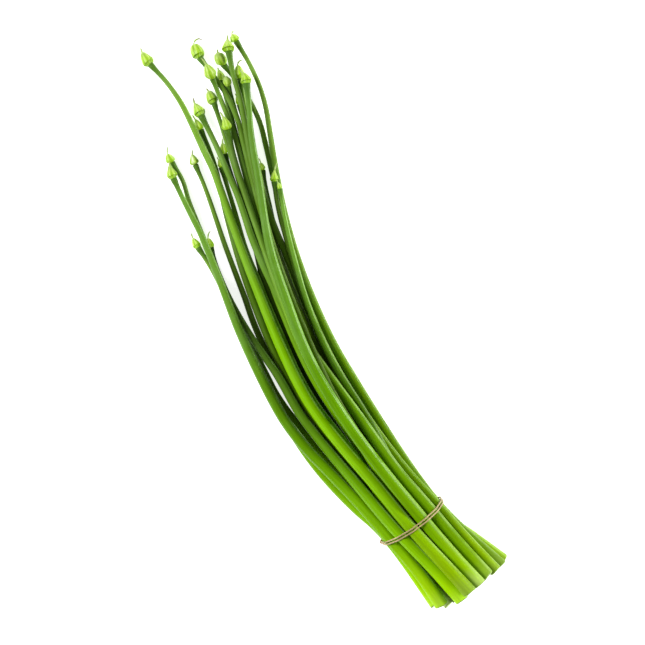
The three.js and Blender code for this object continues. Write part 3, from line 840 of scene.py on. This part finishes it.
@dataclass
class Bud:
    """One closed flower bud: a pleated sheath that is wide at the shoulders and ends in a thin beak.

    Args:
        number: its number in the bunch.
        skin: its finish.
        rings: the rings of its CAD node.
        stem_end: the top of its stalk.
        tip: how the sheath ends.
        lit: how strongly it glows with its own colour, a painted light for the light that falls on its far
        side and comes through, from 0 to 1.
    """

    number: int
    skin: bpy.types.Material
    rings: Course
    stem_end: Array
    tip: Tip = Tip.SHUT
    lit: float = 0.0
    sides: int = 48
    stations: int = 72
    fullness: float = 1.0
    pleats: float = 0.016
    pleat_counts: tuple[int, int] = (6, 9)
    wind: float = 2.4
    lobes: float = 0.035
    bulge: float = 0.03
    seam: float = 0.07
    seam_reach: float = 0.12
    split: float = 0.32
    split_at: float = 1.9
    split_reach: float = 0.34
    wilt: float = 0.25
    foot_share: float = 0.8
    tip_width: float = 0.14 * MM
    sink: float = 0.5 * MM
    grain_length: float = 4 * MM
    grain_apart: float = 3.7

    @property
    def name(self) -> str:
        """The name of its CAD node."""
        return f"bud_{self.number:02d}"

    def _course(self) -> Course:
        """Its line, started inside its stalk and drawn out to a fine tip.

        Returns:
            The course.
        """
        points, widths = self.rings.points, self.rings.widths.copy()
        widths[-1] = self.tip_width
        back = self.stem_end - points[0]
        start = self.stem_end + back / np.linalg.norm(back) * self.sink
        foot = widths[0] * self.foot_share
        return Course(np.concatenate([[start], points]), np.concatenate([[foot], widths]))

    def _lips(self, angle: Array, share: Array, body: Array, seam_at: float) -> Array:
        """How deep the seam is, from 0 to 1: a bell across it times the body, or where the sheath has split
        a wider bell times one along it.

        Args:
            angle: the angles round the bud.
            share: the shares along it, as a column.
            body: where the sheath is full, as a column.
            seam_at: the angle of a shut seam.

        Returns:
            The depths by row and angle.
        """
        split = self.tip is Tip.SPLIT
        at, reach = (self.split_at, self.split_reach) if split else (seam_at, self.seam_reach)
        off = np.abs((angle - at + math.pi) % (2 * math.pi) - math.pi)
        lengthwise = np.exp(-(((share - 0.42) / 0.2) ** 2)) if split else body
        return np.exp(-((off / reach) ** 2)) * lengthwise

    def build(self) -> bpy.types.Object:
        """Makes the bud.

        The swell is pleats that wind a little round the bud, plus two broad lobes and three lesser ones, all
        strongest at the shoulders and gone at the foot and in the beak, less a seam down one side.

        Returns:
            The object.
        """
        draw = np.random.default_rng(2 * SEED + self.number)
        turn = draw.uniform(0, 2 * math.pi, 4)
        count = int(draw.integers(*self.pleat_counts))
        course = self._course()
        angle = round_angles(self.sides)
        way = np.linspace(0, course.length, self.stations)
        share = (way / course.length)[:, None]
        body = eased(share, 0.04, 0.22) * (1 - eased(share, 0.5, 0.85))
        wave = np.cos(count * angle + turn[0] + self.wind * share)
        swell = self.fullness + self.pleats * body * wave
        swell = swell + self.lobes * body * np.cos(2 * angle + turn[1])
        swell = swell + self.bulge * body * np.cos(3 * angle + turn[2])
        split = self.tip is Tip.SPLIT
        lips = self._lips(angle, share, body, turn[3])
        rows = swept(course, way, angle, swell - (self.split if split else self.seam) * lips)
        flat = np.ones_like(swell)
        grain = grain_of(angle, way / self.grain_length)
        grain[..., 2] += self.grain_apart * self.number
        values = {
            "along": share * flat,
            "pleat": wave * body,
            "gape": lips * split,
            "wilt": flat * (1.0 if self.tip is Tip.DRY else self.wilt),
            # painted glow of this bud
            "lit": flat * self.lit,
            "grain": grain,
        }
        ends = (course.points[0], course.points[-1] + (rows[-1].mean(0) - rows[-2].mean(0)) * 0.5)
        return Skin(rows, ends, values).build(Dress(f"{self.name}_sheath", self.name, self.skin, Slot.BUD))


@dataclass
class Band:
    """The band: one thin ring of rubber gone twice round the bunch, crossing over itself once.

    Its line is the outline of the stalks in the band's plane: at each angle it passes close round the stalk
    that reaches furthest that way, and it runs straight from one to the next.

    Args:
        skin: its finish.
        stalks: the stalks' courses.
    """

    skin: bpy.types.Material
    stalks: list[Course]
    node: str = "tie_band"
    radius: float = 0.46 * MM
    gap: float = 0.36 * MM
    spread: float = 0.85 * MM
    lift: float = 1.04 * MM
    lift_span: float = 0.5
    crossing: float = math.radians(192)
    swap: float = 3.2
    steps: int = 900
    samples: int = 12000
    sides: int = 14
    fullness: float = 0.96
    squareness: float = 0.05
    mean_radius: float = 20 * MM
    grain_length: float = 1.2 * MM
    blush: float = 0.75
    blush_reach: float = 0.16

    def _plane(self) -> tuple[Array, Array]:
        """Where the band is, by its CAD node's points: they lie nearly in one plane, whose normal is their
        direction of least spread.

        Returns:
            Its middle, and a row each for its directions right, up and along.
        """
        points, _ = RingReader().welded(self.node)
        middle = points.mean(0)
        _, _, axes = np.linalg.svd(points - middle, full_matrices=False)
        along = axes[2] * np.sign(axes[2][1])
        right = np.cross(along, UP)
        right /= np.linalg.norm(right)
        return middle, np.stack([right, np.cross(right, along), along])

    def _rounds(self, middle: Array, axes: Array) -> Array:
        """Where each stalk passes through the band's plane.

        Args:
            middle: the band's middle.
            axes: its directions right, up and along.

        Returns:
            For each stalk its place right, its place up and its half width.
        """
        rows = []
        for course in self.stalks:
            ahead = (course.points - middle) @ axes[2]
            k = int(np.argmax(ahead >= 0))
            share = ahead[k - 1] / (ahead[k - 1] - ahead[k])
            place = course.points[k - 1] + share * (course.points[k] - course.points[k - 1]) - middle
            width = course.widths[k - 1] + share * (course.widths[k] - course.widths[k - 1])
            rows.append([place @ axes[0], place @ axes[1], width])
        return np.array(rows)

    def build(self) -> bpy.types.Object:
        """Makes the band as a closed tube, a little square in section, along that outline.

        Returns:
            The object.
        """
        middle, axes = self._plane()
        rounds = self._rounds(middle, axes)
        turn = np.linspace(0, 4 * math.pi, self.samples, endpoint=False)
        angle = self.crossing + turn
        way_out = np.stack([np.cos(angle), np.sin(angle)], 1)
        furthest = np.argmax(rounds[:, :2] @ way_out.T + rounds[:, 2:], axis=0)
        over = np.maximum(0, 1 - np.minimum(turn, 4 * math.pi - turn) / self.lift_span) * self.lift
        reach = rounds[furthest, 2] + self.radius + self.gap + over
        flat = rounds[furthest, :2] + way_out * reach[:, None]
        side = np.clip(self.swap * np.sin(turn / 2), -1, 1) * self.spread
        line = middle + flat[:, :1] * axes[0] + flat[:, 1:] * axes[1] + side[:, None] * axes[2]
        return self._tube(self._evenly(line), axes[2])

    def _evenly(self, line: Array) -> Array:
        """The closed line at even steps, with its corners eased by a mean over its neighbours.

        Args:
            line: its points.

        Returns:
            The even points.
        """
        gaps = np.linalg.norm(np.diff(line, axis=0, append=line[:1]), axis=1)
        way = np.concatenate([[0.0], np.cumsum(gaps)])
        closed = np.concatenate([line, line[:1]])
        at = np.linspace(0, way[-1], self.steps, endpoint=False)
        even = np.stack([np.interp(at, way, closed[:, i]) for i in range(3)], 1)
        for _ in range(3):
            even = (np.roll(even, 1, axis=0) + 2 * even + np.roll(even, -1, axis=0)) / 4
        return even

    def _tube(self, line: Array, along: Array) -> bpy.types.Object:
        """A closed tube on the line: the radius times a rounded square that turns slowly.

        Args:
            line: the points of the line.
            along: the direction of the bunch there.

        Returns:
            The object.
        """
        ahead = np.roll(line, -1, axis=0) - np.roll(line, 1, axis=0)
        ahead /= np.linalg.norm(ahead, axis=1, keepdims=True)
        out = np.cross(ahead, along)
        out /= np.linalg.norm(out, axis=1, keepdims=True)
        beside = np.cross(out, ahead)
        angle = np.linspace(0, 2 * math.pi, self.sides, endpoint=False)
        place = np.arange(self.steps) / self.steps * 2 * math.pi
        square = np.cos(4 * (angle[None] - 0.3 * np.sin(5 * place)[:, None]))
        section = self.radius * (self.fullness + self.squareness * square)
        ring = np.cos(angle)[None, :, None] * out[:, None] + np.sin(angle)[None, :, None] * beside[:, None]
        rows = line[:, None] + ring * section[..., None]
        here = np.arange(self.steps * self.sides).reshape(self.steps, self.sides)
        beyond = np.roll(here, -1, axis=0)
        faces = np.stack([here, np.roll(here, -1, 1), np.roll(beyond, -1, 1), beyond], -1).reshape(-1, 4)
        step = 4 * math.pi * self.mean_radius / self.steps / self.grain_length
        near = np.abs(((place + math.pi) % (2 * math.pi)) - math.pi)[:, None]
        values = {
            "ridge": square,
            "cross": self.blush * np.exp(-((near / self.blush_reach) ** 2)) * np.ones(self.sides),
            "grain": grain_of(angle, np.arange(self.steps) * step),
        }
        flat = {name: value.reshape(self.steps * self.sides, -1) for name, value in values.items()}
        dress = Dress("tie_band_strands", self.node, self.skin, Slot.BAND)
        return dress.put_on(rows.reshape(-1, 3), faces.tolist(), flat)


@dataclass
class Bunch:
    """The whole bunch: its stalks, their buds and the band.

    Args:
        tips: how the buds end whose sheath isn't plainly shut, by number.
        painted_light_and_shade: painted light and shade on the stalks that are paler or darker than most, a
            factor on the
        colour at the foot, half way and at the bud, by number.
        pale_feet: how much of the pith's colour some feet have, by number.
        warmths: how much red is in some stalks' green beside the others, by number.
        lit: how strongly some buds that lie in the shade of others glow with their own colour, a painted
            light
        for the light that comes through them, by number.
        leans: how far some stalks lean right to close a chink, and where along +Y that starts, is full, is
            full to and ends, all in millimetres, by number.
    """

    tips: dict[int, Tip] = field(
        default_factory=lambda: {5: Tip.SPLIT, 16: Tip.DRY, 12: Tip.DRY, 10: Tip.DRY}
    )
    # painted light and shade on the stalks, as factors on their colour
    painted_light_and_shade: dict[int, Triple] = field(
        default_factory=lambda: {
            1: (1.5, 1.2, 1.2), 2: (1.35, 0.9, 1.2), 3: (1.9, 0.9, 1.3), 4: (1.65, 0.9, 0.3),
            5: (0.1, 0.1, 1.3), 6: (0.25, 0.45, 1.0), 7: (0.75, 1.75, 1.2), 8: (1.5, 1.5, 1.5),
            9: (0.8, 0.15, 0.5), 10: (1.5, 1.2, 1.1), 11: (1.5, 1.5, 0.8), 12: (0.8, 0.85, 1.25),
            13: (1.0, 1.3, 1.3), 14: (0.95, 0.9, 1.0), 15: (0.35, 0.35, 1.1), 16: (0.2, 0.5, 1.2),
            17: (1.0, 1.0, 1.3), 18: (1.0, 1.0, 1.3), 20: (0.6, 0.6, 1.5), 22: (1.0, 1.2, 1.4),
            23: (0.7, 0.5, 1.4), 24: (0.85, 0.8, 0.9), 25: (0.65, 1.05, 1.2),
        }
    )
    pale_feet: dict[int, float] = field(default_factory=lambda: {3: 1.0, 14: 0.25})
    warmths: dict[int, float] = field(
        default_factory=lambda: {2: 0.9, 4: 0.92, 12: 0.95, 14: 0.88, 23: 0.9, 24: 1.05, 25: 1.03}
    )
    # painted glow of buds that lie in the shade of others
    lit: dict[int, float] = field(
        default_factory=lambda: {
            1: 0.2, 4: 0.8, 6: 0.7, 8: 0.6, 9: 0.75, 17: 0.5, 18: 0.25, 19: 0.5, 20: 0.3, 22: 0.55, 25: 0.2
        }
    )
    leans: dict[int, tuple[float, ...]] = field(
        default_factory=lambda: {
            8: (0.8, -22, -6, 36, 50), 9: (-0.8, -22, -6, 36, 50), 3: (1.3, -40, -24, -8, 6)
        }
    )

    def _leant(self, number: int, rings: Course) -> Course:
        """A stalk's rings moved right by its lean, which eases in and out along the stalk.

        Args:
            number: the stalk's number.
            rings: its rings.

        Returns:
            The rings where they are drawn.
        """
        if number not in self.leans:
            return rings
        lean, start, full, full_to, end = (value * MM for value in self.leans[number])
        points = rings.points.copy()
        along = points[:, 1]
        points[:, 0] += lean * eased(along, start, full) * (1 - eased(along, full_to, end))
        return Course(points, rings.widths)

    def build(self) -> None:
        """Makes every piece and reports it."""
        stem, sheath, rubber = StalkSkin().make(), BudSkin().make(), BandRubber().make()
        reader = RingReader()
        foot = np.array([0.0, CAD_BOX[0][1], 0.0])
        courses = []
        for number in range(1, STALKS + 1):
            rings = self._leant(number, reader.read(f"stalk_{number:02d}", foot))
            courses.append(rings)
            shade = self.painted_light_and_shade.get(number, EVEN_SHADE)
            pale, warmth = self.pale_feet.get(number, PALE_FOOT), self.warmths.get(number, 1.0)
            report(Stalk(number, stem, rings, shade, pale, warmth).build())
            top = rings.points[-1]
            bud_rings = reader.read(f"bud_{number:02d}", top)
            tip, lit = self.tips.get(number, Tip.SHUT), self.lit.get(number, 0.0)
            report(Bud(number, sheath, bud_rings, top, tip, lit).build())
        report(Band(rubber, courses).build())


@dataclass(frozen=True)
class Lamp:
    """A soft light that faces the bunch's middle.

    Args:
        name: its name.
        right: how far right it stands in the picture.
        up: how far towards the picture's top.
        height: how far above the table.
        size: its width and its height.
        power: its watts.
    """

    name: str
    right: float
    up: float
    height: float
    size: tuple[float, float]
    power: float

    def build(self, turn: float) -> None:
        """Makes the light.

        Args:
            turn: how far the picture is turned.
        """
        across = Vector((math.cos(turn), math.sin(turn), 0.0))
        ahead = Vector((-math.sin(turn), math.cos(turn), 0.0))
        place = across * self.right + ahead * self.up + Vector((0, 0, self.height))
        lamp = bpy.data.lights.new(self.name, "AREA")
        lamp.energy = self.power
        lamp.shape = "RECTANGLE"
        lamp.size, lamp.size_y = self.size
        light = bpy.data.objects.new(self.name, lamp)
        light.location = place
        light.rotation_euler = (-place).to_track_quat("-Z", "Y").to_euler()
        bpy.context.scene.collection.objects.link(light)


@dataclass
class Studio:
    """The pale floor, the soft lights and the camera, which looks straight down on the bunch.

    Args:
        lamps: a low light from the right that grazes the bunch, and the main one from the left.
    """

    lamps: tuple[Lamp, ...] = (
        Lamp("rim", 1.2, 0.35, 0.45, (1.4, 0.1), 20.0),
        Lamp("key", -1.15, 0.25, 1.0, (0.7, 0.7), 27.0),
    )
    under: tuple[float, float] = (4.054 * MM, -5.357 * MM)
    height: float = 1.2
    view_width: float = 0.387
    turn: float = math.radians(-24)
    sensor: float = 36.0
    clip: tuple[float, float] = (0.05, 20.0)
    floor_half: float = 4.0
    floor_drop: float = 0.2 * MM
    floor_colour: Colour = (0.93, 0.93, 0.93)
    floor_tooth: Colour = (0.88, 0.88, 0.88)
    floor_glow: float = 0.74
    sky: float = 0.28

    def build(self) -> None:
        """Makes the floor, the lights and the camera."""
        self._floor()
        self._sky()
        for lamp in self.lamps:
            lamp.build(self.turn)
        self._camera()

    def _floor(self) -> None:
        """A wide pale sheet just under the bunch."""
        h = self.floor_half
        corners = [(-h, -h), (h, -h), (h, h), (-h, h)]
        mesh = bpy.data.meshes.new("floor")
        mesh.from_pydata([(x, y, -self.floor_drop) for x, y in corners], [], [(0, 1, 2, 3)])
        glow = {"Emission Color": (1.0, 1.0, 1.0, 1.0), "Emission Strength": self.floor_glow}
        recipe = Recipe("floor_paper", {"Specular IOR Level": 0.1, **glow})
        place = recipe.node("ShaderNodeTexCoord", {}, {}, "Object")
        tooth = recipe.noise(place, 900.0)
        colour = recipe.mix(tooth * 0.02, self.floor_colour, self.floor_tooth)
        rough = recipe.fit(tooth, 0.3, 0.7, 0.8, 0.9)
        mesh.materials.append(recipe.finish(colour, rough, tooth, 0.01 * MM))
        floor = bpy.data.objects.new("floor", mesh)
        bpy.context.scene.collection.objects.link(floor)

    def _sky(self) -> None:
        """Even white light from all round."""
        world = bpy.data.worlds.new("studio")
        world.use_nodes = True
        background = world.node_tree.nodes["Background"]
        background.inputs["Color"].default_value = (1.0, 1.0, 1.0, 1.0)
        background.inputs["Strength"].default_value = self.sky
        bpy.context.scene.world = world

    def _camera(self) -> None:
        """Straight down, turned so that the bunch lies as in the photograph."""
        lens = bpy.data.cameras.new("camera")
        lens.sensor_width = self.sensor
        lens.lens = self.sensor * self.height / self.view_width
        lens.clip_start, lens.clip_end = self.clip
        camera = bpy.data.objects.new("camera", lens)
        camera.location = (*self.under, self.height)
        camera.rotation_euler = (0.0, 0.0, self.turn)
        bpy.context.scene.collection.objects.link(camera)
        bpy.context.scene.camera = camera


def report(piece: bpy.types.Object) -> None:
    """Logs a piece's name and its count of faces."""
    log.info("%s: %d faces", piece.name, len(piece.data.polygons))


def main() -> None:
    """Builds the bunch and the studio."""
    logging.basicConfig(level=logging.INFO, format="%(name)s: %(message)s")
    Bunch().build()
    Studio().build()
    bpy.context.scene.view_settings.view_transform = "Standard"


if __name__ == "__main__":
    main()
